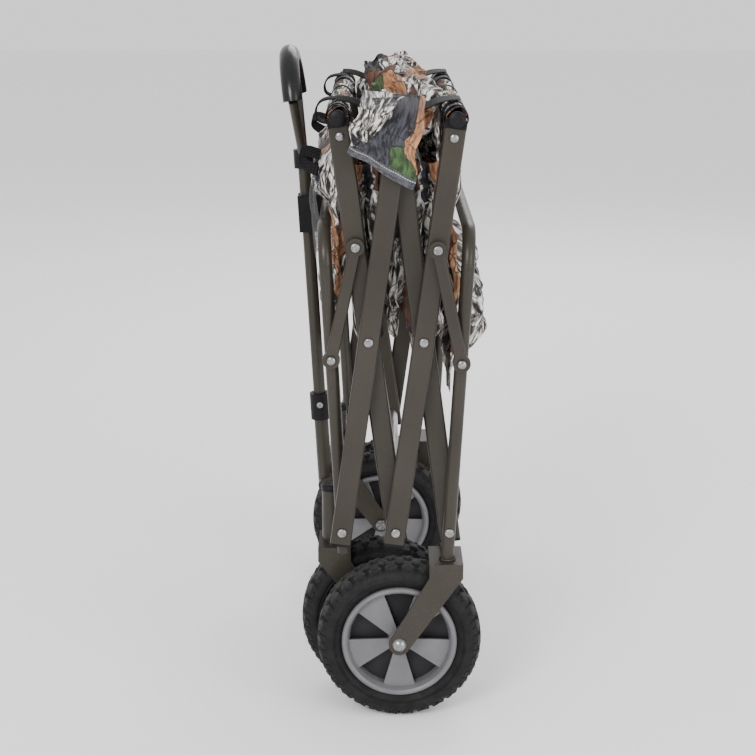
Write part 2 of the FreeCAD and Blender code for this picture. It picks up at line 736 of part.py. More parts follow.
hinge_pin = rod("HingePin", "Sizes.pin_radius", "44", (HINGE[0], -22, HINGE[1]), (0, 1, 0))
ears = []
for side in (-1, 1):
    cross_x, cross_z = post_point("front", -14)
    long = math.hypot(cross_x - HINGE[0], cross_z - HINGE[1]) - size.post_radius - 0.3
    lean = math.degrees(math.atan2(cross_x - HINGE[0], cross_z - HINGE[1]))
    arm = box(f"HingeEar{side}", "18", "4", f"{long}", leaning(HINGE[0], side * 15, HINGE[1], lean))
    eye = rod(f"HingeEye{side}", "9", "4", (HINGE[0], side * 15 - 2, HINGE[1]), (0, 1, 0))
    ears += [arm, eye]
node("handle_hinge_bracket", fuse("HingeBracket", *ears, hinge_pin))

knuckle = rod("Knuckle", "Sizes.sheath_radius", "25", (HINGE[0], -12.5, HINGE[1]), (0, 1, 0))
knuckle_bore = rod(
    "KnuckleBore", "Sizes.pin_radius + Sizes.pin_gap", "30", (HINGE[0], -15, HINGE[1]), (0, 1, 0)
)
sheath = handle_rod("Sheath", "Sizes.sheath_radius", "Sizes.sheath_long", 0)
slide_gap = 0.3
sheath_bore = handle_rod("SheathBore", f"Sizes.pull_radius + {slide_gap}", "Sizes.sheath_long", 14)
COLLAR_Z, COLLAR_TALL = 92.0, 36.0
button_z = COLLAR_Z + 22
button_out = tuple(HANDLE.Rotation.multVec(Vector(0, -1, 0)))
button_hole = rod("ButtonHole", "4.2", "14", tuple(on_handle(0, -8, button_z)), button_out)
sheath_body = fuse("SheathBody", knuckle, sheath)
node("handle_sheath", cut("HandleSheath", sheath_body, knuckle_bore, sheath_bore, button_hole))

collar = handle_rod("Collar", "Sizes.sheath_radius + 4", f"{COLLAR_TALL}", COLLAR_Z)
collar_bore = handle_rod("CollarBore", "Sizes.sheath_radius + 0.1", "Sizes.sheath_long", 0)
collar_top = handle_rod("CollarTop", f"Sizes.pull_radius + {slide_gap}", "80", COLLAR_Z)
node("handle_collar", cut("HandleCollar", collar, collar_bore, collar_top, button_hole))
node("handle_button", rod("Button", "4", "5.4", tuple(on_handle(0, -10.2, button_z)), button_out))

pull = handle_rod("PullOutside", "Sizes.pull_radius", "Sizes.pull_top - 17", 17)
pull_bore = handle_rod("PullBore", "Sizes.pull_radius - Sizes.tube_wall", "Sizes.pull_top", 17)
node("handle_pull_tube", cut("PullTube", pull, pull_bore))
yoke_z = size.pull_top - 14
yoke = handle_rod("Yoke", "Sizes.pull_radius + 5", "24", yoke_z)
yoke_bore = handle_rod("YokeBore", "Sizes.pull_radius + 0.05", "14.1", yoke_z)
node("handle_yoke", cut("HandleYoke", yoke, yoke_bore))


def loop_path():
    """The middle line of the handle loop, in its own plane: two legs and a wide arch."""
    half, low, side, top = size.loop_half, 4.0, 78.0, 132.0
    legs = [(-7, low), (-half, side), (half, side), (7, low)]
    edges = [
        Part.LineSegment(Vector(0, legs[0][0], legs[0][1]), Vector(0, legs[1][0], legs[1][1])).toShape(),
        Part.Arc(Vector(0, -half, side), Vector(0, 0, top), Vector(0, half, side)).toShape(),
        Part.LineSegment(Vector(0, legs[2][0], legs[2][1]), Vector(0, legs[3][0], legs[3][1])).toShape(),
    ]
    return edges


def swept(name, edge, radius):
    """A round rod along one edge, placed in the handle's frame above the yoke."""
    start = edge.valueAt(edge.FirstParameter)
    tangent = edge.tangentAt(edge.FirstParameter)
    circle = Part.Wire(Part.Circle(start, tangent, radius).toShape())
    made = doc.addObject("Part::Feature", name)
    made.Shape = Part.Wire(edge).makePipeShell([circle], True, True)
    made.Placement = HANDLE.multiply(Placement(Vector(0, 0, size.pull_top), Rotation(ALONG_Y, -4)))
    return made


leg_a, arch, leg_b = loop_path()
loop_legs = [swept("LoopLeg" + tag, leg, size.loop_radius) for tag, leg in (("A", leg_a), ("B", leg_b))]
node("handle_loop_legs", *loop_legs)
node("handle_grip", swept("Grip", arch, size.grip_radius))

# the clip on the front frame's top tube holds the folded handle
CLIP_Z = 350.0
clip_reach = size.post_top - size.pivot_height
top_x, top_z = post_point("front", clip_reach)
clip_block = handle_box("ClipBlock", 34, 30, 48, 6, 0, CLIP_Z)
clip_slot = handle_box("ClipSlot", 60, 17, 60, -27, 0, CLIP_Z - 5)
clip_bore = handle_rod("ClipBore", "Sizes.pull_radius + 0.6", "90", CLIP_Z - 20)
clip_tube = rod("ClipTube", "Sizes.post_radius + 0.1", "60", (top_x, -30, top_z), (0, 1, 0))
clip_seat = rod("ClipSeat", "Sizes.post_radius + 4", "30", (top_x, -15, top_z), (0, 1, 0))
clip_body = fuse("ClipBody", clip_block, clip_seat)
node("handle_clip", cut("HandleClip", clip_body, clip_slot, clip_bore, clip_tube))


# ---------------------------------------------------------------- cloth tub, folded
def cloth_block(name, x, y, z, wide, deep, tall, lean=0.0, corner=8.0):
    """A soft folded mass: a closed block with rounded upright edges."""
    block = box(name, f"{wide}", f"{deep}", f"{tall}", leaning(x, y, z, lean))
    doc.recompute()
    axis = leaning(0, 0, 0, lean).Rotation.multVec(UP)
    return rounded(name + "Soft", block, min(corner, wide * 0.45, deep * 0.45), runs_along(axis))


WALL_Y = size.cloth_half - 9
for where, x, low, high in (("front", -42, 474, 712), ("middle", 0, 470, 690), ("rear", 42, 474, 712)):
    wide = 34 if where != "middle" else 30
    block = cloth_block(
        "SideCloth" + where.capitalize(), CENTRE[0] + x, -WALL_Y, low, wide, 16, high - low
    )
    pair(f"side_cloth_{where}", block)
for end in ("front", "rear"):
    out = OUT[end]
    shift = CENTRE[0] + out * (60 if end == "front" else 94)
    low, high = (500, 700) if end == "front" else (420, 570)
    node(
        f"end_cloth_{end}",
        cloth_block(
            "EndCloth" + end.capitalize(), shift, 0, low, 16 if end == "front" else 22, 380, high - low
        ),
    )
    panel_x = CENTRE[0] + out * 27
    node(
        f"floor_panel_{end}",
        cloth_block(
            "FloorPanel" + end.capitalize(), panel_x, 0, 400, size.panel_thick,
            2 * (WALL_Y - 14), 240, corner=3,
        ),
    )
node("floor_bunch", cloth_block("FloorBunch", CENTRE[0], 0, 730, 36, 330, 48, corner=16))
top = lean_from(FOOT["front"], size.folded_lean, LONG)
flap_y = size.outer_layer + size.bar_thick / 2 + 7
pair("top_flaps", cloth_block("TopFlap", top[0] - 26, -flap_y, 668, 74, 5, 92, corner=2))

# ---------------------------------------------------------------- write the files
doc.recompute()
for made in doc.Objects:
    if "Invalid" in made.State or "Error" in made.State:
        raise RuntimeError(f"{made.Name} failed to build: {made.State}")
os.makedirs("parts", exist_ok=True)
for made in nodes:
    if made.Shape.isNull() or not made.Shape.isValid():
        raise RuntimeError(f"{made.Label} has no valid shape")
    made.Shape.exportStep(os.path.join("parts", made.Label + ".step"))
whole = Part.makeCompound([made.Shape for made in nodes]).BoundBox
print(len(nodes), "nodes", whole)
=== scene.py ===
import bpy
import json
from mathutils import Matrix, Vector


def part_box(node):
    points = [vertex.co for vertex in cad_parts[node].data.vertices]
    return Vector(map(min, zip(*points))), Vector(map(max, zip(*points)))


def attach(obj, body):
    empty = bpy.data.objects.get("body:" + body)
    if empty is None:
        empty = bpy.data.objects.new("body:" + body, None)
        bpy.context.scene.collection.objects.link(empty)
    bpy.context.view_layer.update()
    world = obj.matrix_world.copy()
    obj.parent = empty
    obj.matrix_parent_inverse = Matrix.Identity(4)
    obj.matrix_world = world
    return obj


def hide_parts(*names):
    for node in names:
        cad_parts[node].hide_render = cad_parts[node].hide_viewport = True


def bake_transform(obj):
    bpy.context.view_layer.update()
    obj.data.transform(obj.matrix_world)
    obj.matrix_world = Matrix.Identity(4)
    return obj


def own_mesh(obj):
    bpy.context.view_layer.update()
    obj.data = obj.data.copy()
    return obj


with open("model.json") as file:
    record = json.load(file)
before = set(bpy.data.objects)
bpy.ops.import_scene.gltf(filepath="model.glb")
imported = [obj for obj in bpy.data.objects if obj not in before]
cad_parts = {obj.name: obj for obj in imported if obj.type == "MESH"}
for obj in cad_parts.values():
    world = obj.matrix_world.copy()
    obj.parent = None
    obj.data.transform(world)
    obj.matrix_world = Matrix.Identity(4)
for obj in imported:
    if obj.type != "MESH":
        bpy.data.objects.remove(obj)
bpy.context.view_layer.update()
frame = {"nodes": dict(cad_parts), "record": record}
# A folding camp wagon, folded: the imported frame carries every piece, and this file makes the looks.
# Lengths are in metres. +X is the rear, -X the handle, -Y the wagon's left side.
import json
import math

import bmesh
import bpy
from mathutils import Matrix, Vector, noise

nodes = frame["nodes"]


# ---------------------------------------------------------------- places taken from the frame
def middle(node):
    low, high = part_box(node)
    return (low + high) / 2


CENTRE_X = middle("centre_tube").x
RAIL = {end: middle(f"{end}_rail") for end in ("front", "rear")}
OUT = {"front": -1, "rear": 1}
SIDE = {-1: "left", 1: "right"}
BOLT_HEAD = 0.0056
POST_RADIUS = 0.008
POST_LEAN_SHIFT = 0.00055591  # from the leaning post's foot to the edge of its box
BAR_LEAN = math.radians(7.8)


# ---------------------------------------------------------------- camera, floor and lights
def make_stage():
    camera = bpy.data.objects.new("camera", bpy.data.cameras.new("camera"))
    bpy.context.scene.collection.objects.link(camera)
    camera.location = (CENTRE_X - 0.022, -2.14, 0.942)
    camera.rotation_euler = (math.radians(90 - 15.08), 0, 0)
    camera.data.sensor_width = 36
    camera.data.lens = 78.31
    camera.data.clip_start = 0.05
    bpy.context.scene.camera = camera

    mesh = bpy.data.meshes.new("floor")
    far = 12.0
    mesh.from_pydata([(-far, -far, 0), (far, -far, 0), (far, far, 0), (-far, far, 0)], [], [(0, 1, 2, 3)])
    floor = bpy.data.objects.new("floor", mesh)
    bpy.context.scene.collection.objects.link(floor)
    pale = Paint("floor_pale", (0.94, 0.94, 0.94), rough=0.8)
    pale.bump(pale.noise(60, 3), 0.02)
    floor.data.materials.append(pale.material)

    world = bpy.data.worlds.new("studio")
    bpy.context.scene.world = world
    world.use_nodes = True
    world.node_tree.nodes["Background"].inputs[0].default_value = (1, 1, 1, 1)
    world.node_tree.nodes["Background"].inputs[1].default_value = 1.15
    for name, place, wide, power in (
        ("key", (-1.3, -2.9, 2.1), 1.2, 85),
        ("fill", (2.2, -2.2, 1.2), 1.6, 40),
        ("back", (0.6, 2.4, 2.4), 1.8, 40),
    ):
        lamp = bpy.data.objects.new(name, bpy.data.lights.new(name, "AREA"))
        lamp.data.size = wide
        lamp.data.energy = power
        lamp.location = place
        aim = Vector((CENTRE_X, 0, 0.42)) - Vector(place)
        lamp.rotation_euler = aim.to_track_quat("-Z", "Y").to_euler()
        bpy.context.scene.collection.objects.link(lamp)


# ---------------------------------------------------------------- materials
class Paint:
    """One procedural material, built up node by node."""

    def __init__(self, name, colour=(0.5, 0.5, 0.5), rough=0.5, metal=0.0, coat=0.0, sheen=0.0, spec=0.5):
        self.material = bpy.data.materials.new(name)
        self.material.use_nodes = True
        self.tree = self.material.node_tree
        self.shader = self.tree.nodes["Principled BSDF"]
        self.shader.inputs["Base Color"].default_value = (*colour, 1)
        self.shader.inputs["Roughness"].default_value = rough
        self.shader.inputs["Metallic"].default_value = metal
        self.shader.inputs["Coat Weight"].default_value = coat
        self.shader.inputs["Sheen Weight"].default_value = sheen
        self.shader.inputs["Specular IOR Level"].default_value = spec
        self.normal = None

    def node(self, kind, **values):
        made = self.tree.nodes.new(kind)
        for key, value in values.items():
            setattr(made, key, value)
        return made

    def link(self, a, b):
        self.tree.links.new(a, b)

    def place(self, uv=False, scale=(1, 1, 1), turn=0.0):
        """Texture coordinates in metres: the cloth's flat cut, or the piece's own space."""
        source = self.node("ShaderNodeTexCoord").outputs["UV" if uv else "Object"]
        mapping = self.node("ShaderNodeMapping")
        mapping.inputs["Scale"].default_value = scale
        mapping.inputs["Rotation"].default_value = (0, 0, turn)
        self.link(source, mapping.inputs["Vector"])
        return mapping.outputs[0]

    def noise(self, scale, detail=4, at=None, rough=0.5, warp=0.0):
        made = self.node("ShaderNodeTexNoise")
        made.inputs["Scale"].default_value = scale
        made.inputs["Detail"].default_value = detail
        made.inputs["Roughness"].default_value = rough
        made.inputs["Distortion"].default_value = warp
        self.link(at or self.place(), made.inputs["Vector"])
        return made.outputs[0]

    def ramp(self, value, *stops, constant=False):
        made = self.node("ShaderNodeValToRGB")
        if constant:
            made.color_ramp.interpolation = "CONSTANT"
        while len(made.color_ramp.elements) < len(stops):
            made.color_ramp.elements.new(0.5)
        for element, (at, colour) in zip(made.color_ramp.elements, stops):
            element.position = at
            element.color = (*colour, 1) if hasattr(colour, "__len__") else (colour, colour, colour, 1)
        self.link(value, made.inputs[0])
        return made.outputs[0]

    def mix(self, factor, a, b):
        made = self.node("ShaderNodeMix", data_type="RGBA")
        self.link(factor, made.inputs[0])
        for socket, value in ((made.inputs[6], a), (made.inputs[7], b)):
            if hasattr(value, "links"):
                self.link(value, socket)
            else:
                socket.default_value = (*value, 1)
        return made.outputs[2]

    def maths(self, operation, a, b=None):
        made = self.node("ShaderNodeMath", operation=operation)
        for socket, value in zip(made.inputs, (a, b)):
            if value is None:
                continue
            if hasattr(value, "links"):
                self.link(value, socket)
            else:
                socket.default_value = value
        return made.outputs[0]

    def colour(self, value):
        self.link(value, self.shader.inputs["Base Color"])

    def roughness(self, value):
        self.link(value, self.shader.inputs["Roughness"])

    def bump(self, height, strength, distance=0.001):
        made = self.node("ShaderNodeBump")
        made.inputs["Strength"].default_value = strength
        made.inputs["Distance"].default_value = distance
        self.link(height, made.inputs["Height"])
        if self.normal is not None:
            self.link(self.normal, made.inputs["Normal"])
        self.normal = made.outputs[0]
        self.link(self.normal, self.shader.inputs["Normal"])


def tinted(name, dark, light, scale, rough, grain=0.0, grain_scale=900, **more):
    """Paint with a soft variation of tone, an uneven gloss and a fine grain."""
    paint = Paint(name, light, rough=rough, **more)
    tone = paint.noise(scale, 5)
    paint.colour(paint.ramp(tone, (0.3, dark), (0.7, light)))
    paint.roughness(paint.ramp(paint.noise(scale * 3, 3), (0.3, rough - 0.06), (0.7, rough + 0.08)))
    if grain:
        paint.bump(paint.noise(grain_scale, 2), grain)
    return paint.material


def frame_paint():
    """Khaki powder coat: a fine orange peel, a metallic fleck and a soft random variation of tone."""
    paint = Paint("frame_paint", (0.04, 0.034, 0.026), rough=0.38, metal=0.15, coat=0.05, spec=0.28)
    tone = paint.ramp(paint.noise(9, 4), (0.3, (0.024, 0.020, 0.0148)), (0.72, (0.034, 0.0288, 0.0218)))
    fleck = paint.ramp(paint.noise(1500, 1), (0.62, 0.0), (0.74, 0.5))
    paint.colour(paint.mix(fleck, tone, (0.10, 0.09, 0.07)))
    paint.roughness(paint.ramp(paint.noise(40, 4), (0.3, 0.33), (0.7, 0.44)))
    paint.bump(paint.noise(700, 2), 0.12, 0.0004)
    return paint.material


def camouflage(name, cell=0.036, shift=0.0, patches=True):
    """Printed polyester: patches of pale bark, dusk, plank and leaf, drawn on the flat cloth."""
    paint = Paint(name, (0.4, 0.4, 0.4), rough=0.66, sheen=0.05, spec=0.25)
    flat = paint.place(uv=True)
    wobble = paint.node("ShaderNodeTexNoise")
    wobble.inputs["Scale"].default_value = 60
    wobble.inputs["Detail"].default_value = 3
    paint.link(flat, wobble.inputs["Vector"])
    shrink = paint.node("ShaderNodeVectorMath", operation="SCALE")
    shrink.inputs["Scale"].default_value = 0.35
    paint.link(wobble.outputs["Color"], shrink.inputs[0])
    warped = paint.node("ShaderNodeVectorMath", operation="ADD")
    spread = paint.place(uv=True, scale=(1 / cell, 0.42 / cell, 1), turn=0.55)
    paint.link(spread, warped.inputs[0])
    paint.link(shrink.outputs[0], warped.inputs[1])
    moved = paint.node("ShaderNodeVectorMath", operation="ADD")
    paint.link(warped.outputs[0], moved.inputs[0])
    moved.inputs[1].default_value = (shift, shift * 0.7, 0)
    patch = paint.node("ShaderNodeTexVoronoi", feature="F1")
    edge = paint.node("ShaderNodeTexVoronoi", feature="DISTANCE_TO_EDGE")
    for cells in (patch, edge):
        cells.inputs["Scale"].default_value = 1.0
        paint.link(moved.outputs[0], cells.inputs["Vector"])
    pick = paint.node("ShaderNodeSeparateColor")
    paint.link(patch.outputs["Color"], pick.inputs[0])

    def streaks(wide, long, turn):
        flow = paint.place(uv=True, scale=(wide, long, 1), turn=turn)
        return paint.noise(1.0, 6, at=flow, rough=0.62, warp=0.35)

    upright, slanted = streaks(230, 52, 0.1), streaks(200, 60, 1.0)
    which = paint.maths("GREATER_THAN", pick.outputs[2], 0.62)
    grain = paint.mix(which, upright, slanted)
    bark = paint.ramp(
        grain, (0.41, (0.008, 0.007, 0.008)), (0.47, (0.07, 0.064, 0.060)), (0.515, (0.34, 0.315, 0.285)),
        (0.585, (0.76, 0.735, 0.70)),
    )
    dusk = paint.ramp(grain, (0.40, (0.004, 0.004, 0.006)), (0.62, (0.050, 0.049, 0.062)))
    plank = paint.ramp(grain, (0.38, (0.020, 0.010, 0.007)), (0.62, (0.125, 0.058, 0.036)))
    rust = paint.ramp(grain, (0.38, (0.11, 0.045, 0.020)), (0.60, (0.42, 0.205, 0.098)))
    green = paint.ramp(grain, (0.38, (0.012, 0.028, 0.009)), (0.60, (0.052, 0.098, 0.032)))
    printed = bark
    for start, tone in ((0.43, dusk), (0.60, plank), (0.76, rust), (0.95, green)) if patches else ():
        printed = paint.mix(paint.maths("GREATER_THAN", pick.outputs[0], start), printed, tone)
    outline = paint.ramp(edge.outputs["Distance"], (0.008, 0.9), (0.022, 0.0))
    printed = paint.mix(outline, printed, (0.010, 0.009, 0.010))
    twig = paint.node("ShaderNodeTexVoronoi", feature="DISTANCE_TO_EDGE")
    twig.inputs["Scale"].default_value = 1.0
    paint.link(paint.place(uv=True, scale=(46, 19, 1), turn=-0.7), twig.inputs["Vector"])
    thin = paint.ramp(twig.outputs["Distance"], (0.008, 0.75), (0.022, 0.0))
    paint.colour(paint.mix(thin, printed, (0.014, 0.012, 0.012)))
    thread = paint.node("ShaderNodeTexWave", wave_type="BANDS")
    thread.inputs["Scale"].default_value = 260
    paint.link(flat, thread.inputs["Vector"])
    cross = paint.node("ShaderNodeTexWave", wave_type="BANDS", bands_direction="Y")
    cross.inputs["Scale"].default_value = 260
    paint.link(flat, cross.inputs["Vector"])
    paint.bump(paint.maths("MULTIPLY", thread.outputs[1], cross.outputs[1]), 0.35, 0.0003)
    paint.bump(paint.noise(55, 4, at=flat), 0.5, 0.0025)
    return paint.material


def hem_paint():
    """Blue-grey binding with a light stitch along it."""
    paint = Paint("hem_band", (0.12, 0.13, 0.15), rough=0.7, sheen=0.2)
    flat = paint.place(uv=True)
    along = paint.noise(1.0, 4, at=paint.place(uv=True, scale=(180, 300, 1)))
    tone = paint.ramp(along, (0.35, (0.010, 0.011, 0.015)), (0.65, (0.060, 0.064, 0.075)))
    split = paint.node("ShaderNodeSeparateXYZ")
    paint.link(flat, split.inputs[0])
    off_seam = paint.maths("ABSOLUTE", paint.maths("SUBTRACT", split.outputs[1], 0.003))
    line = paint.maths("LESS_THAN", off_seam, 0.0005)
    stitch = paint.maths("FRACT", paint.maths("MULTIPLY", split.outputs[0], 330.0))
    dash = paint.maths("LESS_THAN", stitch, 0.68)
    paint.colour(paint.mix(paint.maths("MULTIPLY", line, dash), tone, (0.35, 0.34, 0.31)))
    paint.bump(along, 0.4, 0.0006)
    return paint.material


def webbing_paint():
    """Black polyester webbing with its ribbed weave."""
    paint = Paint("webbing", (0.008, 0.008, 0.009), rough=0.6, spec=0.12)
    flat = paint.place(uv=True)
    rib = paint.node("ShaderNodeTexWave", wave_type="BANDS", bands_direction="Y")
    rib.inputs["Scale"].default_value = 130
    paint.link(flat, rib.inputs["Vector"])
    herringbone = paint.node("ShaderNodeTexWave", wave_type="BANDS", bands_direction="DIAGONAL")
    herringbone.inputs["Scale"].default_value = 160
    paint.link(flat, herringbone.inputs["Vector"])
    weave = paint.maths("MULTIPLY", rib.outputs[1], herringbone.outputs[1])
    paint.colour(paint.ramp(weave, (0.1, (0.004, 0.004, 0.0045)), (0.9, (0.022, 0.022, 0.024))))
    paint.bump(weave, 0.8, 0.0006)
    return paint.material


def mesh_paint():
    """Black netting: round holes between threads."""
    paint = Paint("netting", (0.015, 0.015, 0.016), rough=0.6)
    holes = paint.node("ShaderNodeTexVoronoi", feature="F1")
    holes.inputs["Scale"].default_value = 210
    holes.inputs["Randomness"].default_value = 0.0
    paint.link(paint.place(uv=True, turn=0.78), holes.inputs["Vector"])
    solid = paint.ramp(holes.outputs["Distance"], (0.33, 0.0), (0.37, 1.0))
    paint.link(solid, paint.shader.inputs["Alpha"])
    paint.bump(holes.outputs["Distance"], 0.5, 0.0005)
    return paint.material


def tyre_paint():
    """Black rubber: painted shade darkens it into the grooves and down the sidewall, with a dusty bloom on
    the worn tops of the blocks.
    """
    paint = Paint("tyre_rubber", (0.012, 0.012, 0.013), rough=0.62, spec=0.16)
    split = paint.node("ShaderNodeSeparateXYZ")
    paint.link(paint.place(), split.inputs[0])
    square = [paint.maths("MULTIPLY", split.outputs[i], split.outputs[i]) for i in (0, 2)]
    radius = paint.maths("SQRT", paint.maths("ADD", *square))
    height = paint.maths("MULTIPLY", paint.maths("SUBTRACT", radius, 0.0955), 1 / 0.006)
    # Painted shade and wear: the colour runs from a darker tone low down (groove bottoms and sidewall, shade
    # painted into the recesses) to a dusty, worn tone on the block tops.
    depth = paint.ramp(height, (0.12, 0.0), (0.72, 1.0))
    scuff = paint.noise(260, 5, rough=0.65)
    worn = paint.ramp(scuff, (0.35, (0.021, 0.021, 0.021)), (0.7, (0.040, 0.0395, 0.038)))
    wall = paint.ramp(paint.noise(70, 5), (0.4, (0.0075, 0.0075, 0.008)), (0.7, (0.013, 0.013, 0.0135)))
    paint.colour(paint.mix(depth, wall, worn))
    paint.roughness(paint.ramp(paint.noise(160, 3), (0.3, 0.52), (0.7, 0.72)))
    paint.bump(paint.noise(900, 3), 0.35, 0.0004)
    return paint.material


def zinc():
    paint = Paint("zinc_bolt", (0.4, 0.4, 0.4), rough=0.28, metal=1.0)
    paint.colour(paint.ramp(paint.noise(260, 4), (0.3, (0.17, 0.17, 0.17)), (0.7, (0.34, 0.34, 0.335))))
    paint.roughness(paint.ramp(paint.noise(420, 3), (0.3, 0.2), (0.7, 0.42)))
    paint.bump(paint.noise(1200, 2), 0.1, 0.0002)
    return paint.material


def bright_tube():
    """Plated tube with drawing lines round it."""
    paint = Paint("bright_tube", (0.5, 0.5, 0.5), rough=0.3, metal=1.0)
    lines = paint.noise(1.0, 5, at=paint.place(scale=(700, 12, 700)))
    paint.colour(paint.ramp(lines, (0.3, (0.36, 0.36, 0.36)), (0.7, (0.62, 0.62, 0.61))))
    paint.roughness(paint.ramp(lines, (0.3, 0.24), (0.7, 0.42)))
    return paint.material


BLACK = ((0.004, 0.004, 0.0045), (0.008, 0.008, 0.009))
MATERIALS = {
    "frame_paint": frame_paint(),
    "zinc_bolt": zinc(),
    "bright_tube": bright_tube(),
    "black_plastic": tinted("black_plastic", *BLACK, 40, 0.42, 0.2, spec=0.14),
    "rim_plastic": tinted("rim_plastic", (0.095, 0.095, 0.101), (0.125, 0.125, 0.132), 30, 0.4, 0.12,
                          coat=0.05),
    "tyre_rubber": tyre_paint(),
    "grip_rubber": tinted("grip_rubber", *BLACK, 50, 0.24, 0.05, 500, spec=0.3),
    "camo_fabric": camouflage("camo_fabric", cell=0.030),
}
# Painted shade: a darker copy of the rim's grey plastic for the inner web, standing for the shade in the
# recess between the spokes.
RIM_SHADE = ((0.012, 0.012, 0.013), (0.02, 0.02, 0.022))
MATERIALS["rim_web_painted_shade"] = tinted("rim_web_painted_shade", *RIM_SHADE, 30, 0.5, 0.12, spec=0.2)
MATERIALS["camo_leafy"] = camouflage("camo_leafy", cell=0.038, shift=7.9)
MATERIALS["camo_pale"] = camouflage("camo_pale", cell=0.14, patches=False)
MATERIALS["hem_band"] = hem_paint()
MATERIALS["webbing"] = webbing_paint()
MATERIALS["netting"] = mesh_paint()


def dress_frame():
    """Every CAD piece takes the material of its record slot."""
    for entry in frame["record"]["subparts"]:
        piece = nodes[entry["node"]]
        piece.data.materials.clear()
        piece.data.materials.append(MATERIALS[entry["material_slot"]])


# ---------------------------------------------------------------- mesh makers
def add_mesh(name, mesh, material, smooth=True):
    made = bpy.data.objects.new(name, mesh)
    bpy.context.scene.collection.objects.link(made)
    mesh.materials.append(MATERIALS[material])
    if smooth:
        mesh.shade_smooth()
    return made


def applied(piece, kind, **values):
    """Adds a modifier, applies it and leaves a plain mesh."""
    modifier = piece.modifiers.new(kind.lower(), kind)
    for key, value in values.items():
        setattr(modifier, key, value)
    graph = bpy.context.evaluated_depsgraph_get()
    piece.data = bpy.data.meshes.new_from_object(piece.evaluated_get(graph))
    piece.modifiers.clear()
    return piece


def cloth(name, where, size_uv, steps, material="camo_fabric", thick=0.0012, closed=False, soften=1):
    """A sheet of cloth from where(u, v), u and v from 0 to 1, with its flat cut in metres as UV."""
    across, down = steps
    mesh = bpy.data.meshes.new(name)
    columns = across if closed else across + 1
    points = [where(i / across, j / down) for j in range(down + 1) for i in range(columns)]
    faces = []
    for j in range(down):
        for i in range(across):
            right, near, far = (i + 1) % columns, j * columns, (j + 1) * columns
            faces.append((near + i, near + right, far + right, far + i))
    mesh.from_pydata([tuple(p) for p in points], [], faces)
    layer = mesh.uv_layers.new(name="flat")
    for index, face in enumerate(mesh.polygons):
        j, i = divmod(index, across)
        for loop, (di, dj) in zip(face.loop_indices, ((0, 0), (1, 0), (1, 1), (0, 1))):
            layer.data[loop].uv = ((i + di) / across * size_uv[0], (j + dj) / down * size_uv[1])
    made = add_mesh(name, mesh, material)
    if thick:
        applied(made, "SOLIDIFY", thickness=thick, offset=0)
    if soften:
        applied(made, "SUBSURF", levels=soften)
    made.data.shade_smooth()
    return made


def flat_area(where, across=60, down=60):
    """The area of the surface where(u, v)."""
    grid = [[Vector(where(i / across, j / down)) for i in range(across + 1)] for j in range(down + 1)]
    total = 0.0
    for j in range(down):
        for i in range(across):
            a, b, c, d = grid[j][i], grid[j][i + 1], grid[j + 1][i + 1], grid[j + 1][i]
            total += ((b - a).cross(d - a).length + (b - c).cross(d - c).length) / 2
    return total


def crumple(p, seed, size, scale):
    """A repeatable small offset at a point, for creases."""
    q = Vector(p) * scale + Vector((seed * 3.1, seed * 1.7, seed))
    apart = (Vector((0, 0, 0)), Vector((9, 0, 0)), Vector((0, 9, 0)))
    return Vector([noise.noise(q + step) for step in apart]) * size


def smooth_step(t):
    t = min(max(t, 0.0), 1.0)
    return t * t * (3 - 2 * t)


def finished(bm, name):
    """The plain mesh of a bmesh, its faces all outward."""
    bmesh.ops.recalc_face_normals(bm, faces=bm.faces)
    mesh = bpy.data.meshes.new(name)
    bm.to_mesh(mesh)
    bm.free()
    return mesh


# ---------------------------------------------------------------- wheels
def ring_mesh(bm, outline, turns=96):
    """Turns a closed outline of (y, radius) points about the Y axis."""
    rings = []
    for k in range(turns):
        a = 2 * math.pi * k / turns
        rings.append([bm.verts.new((r * math.sin(a), y, r * math.cos(a))) for y, r in outline])
    for k in range(turns):
        one, two = rings[k], rings[(k + 1) % turns]
        for i in range(len(outline)):
            j = (i + 1) % len(outline)
            bm.faces.new((one[i], one[j], two[j], two[i]))


def wrapped_block(bm, outline, radius, low, high, angle, taper=0.86):
    """A tread block: an outline of (arc length, y) points, raised from one radius to another."""
    centre = (sum(p[0] for p in outline) / len(outline), sum(p[1] for p in outline) / len(outline))
    top, foot = [], []
    for s, y in outline:
        for ring, height, scale in ((foot, low(y), 1.0), (top, high(y), taper)):
            px = centre[0] + (s - centre[0]) * scale
            py = centre[1] + (y - centre[1]) * scale
            a = angle + px / radius
            ring.append(bm.verts.new((height * math.sin(a), py, height * math.cos(a))))
    bm.faces.new(top)
    for i in range(len(outline)):
        j = (i + 1) % len(outline)
        bm.faces.new((foot[i], foot[j], top[j], top[i]))


